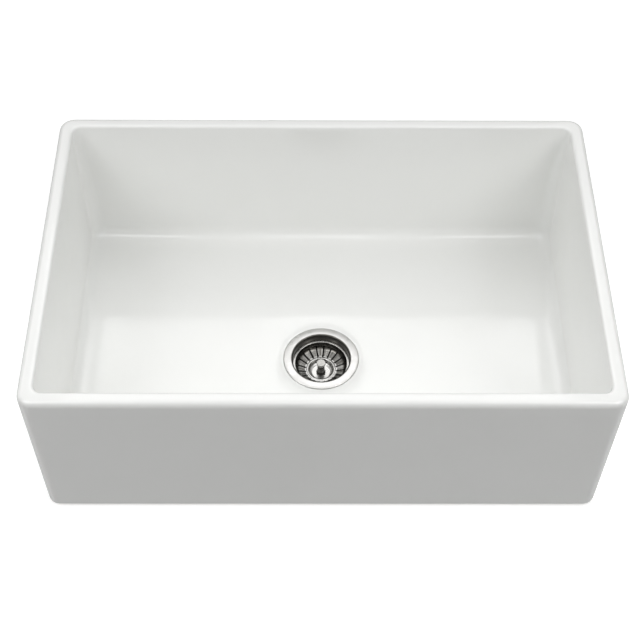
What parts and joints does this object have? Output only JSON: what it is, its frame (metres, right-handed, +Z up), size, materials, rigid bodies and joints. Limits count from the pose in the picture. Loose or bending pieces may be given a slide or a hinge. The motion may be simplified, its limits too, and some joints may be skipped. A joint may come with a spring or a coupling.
{
  "type": "farmhouse apron front kitchen sink",
  "caption": "Single-bowl apron-front fireclay kitchen sink with a lift-out basket strainer and push-down stopper in its drain.",
  "frame": {"origin": "on the drain axis, in the plane of the basin's flat underside", "axes": "+X to the right along the apron, -Y out of the apron towards the user, +Z up"},
  "size_m": [0.7616, 0.5076, 0.317],
  "materials": {
    "fireclay": "gloss",
    "stainless": "polished",
    "dark_steel": "satin",
    "rubber": "matte",
    "foam": "matte",
    "fibre": "matte",
    "cast_brass": "satin",
    "plated_nut": "polished",
    "polyethylene": "satin"
  },
  "bodies": {
    "sink": {"sink_basin": "fireclay", "flange_gasket": "foam", "strainer_body": "stainless", "outlet_neck": "stainless", "sink_gasket": "rubber", "friction_ring": "fibre", "lock_nut": "cast_brass", "tail_washer": "polyethylene", "coupling_nut": "plated_nut"},
    "basket": {"basket_cup": "stainless", "stem_bushing": "dark_steel", "bushing_clip": "stainless"},
    "plunger": {"plunger_stem": "dark_steel", "knob_cap": "stainless", "stem_o_ring": "rubber", "stopper_plate": "stainless", "stopper_seal": "rubber", "stopper_screw": "stainless"}
  },
  "joints": [
    {"name": "basket_lift", "type": "slide", "parent": "sink", "child": "basket", "axis": [0, 0, 1], "range_m": [0, 0.29]},
    {"name": "stopper_press", "type": "slide", "parent": "basket", "child": "plunger", "axis": [0, 0, -1], "range_m": [0, 0.0081]}
  ]
}
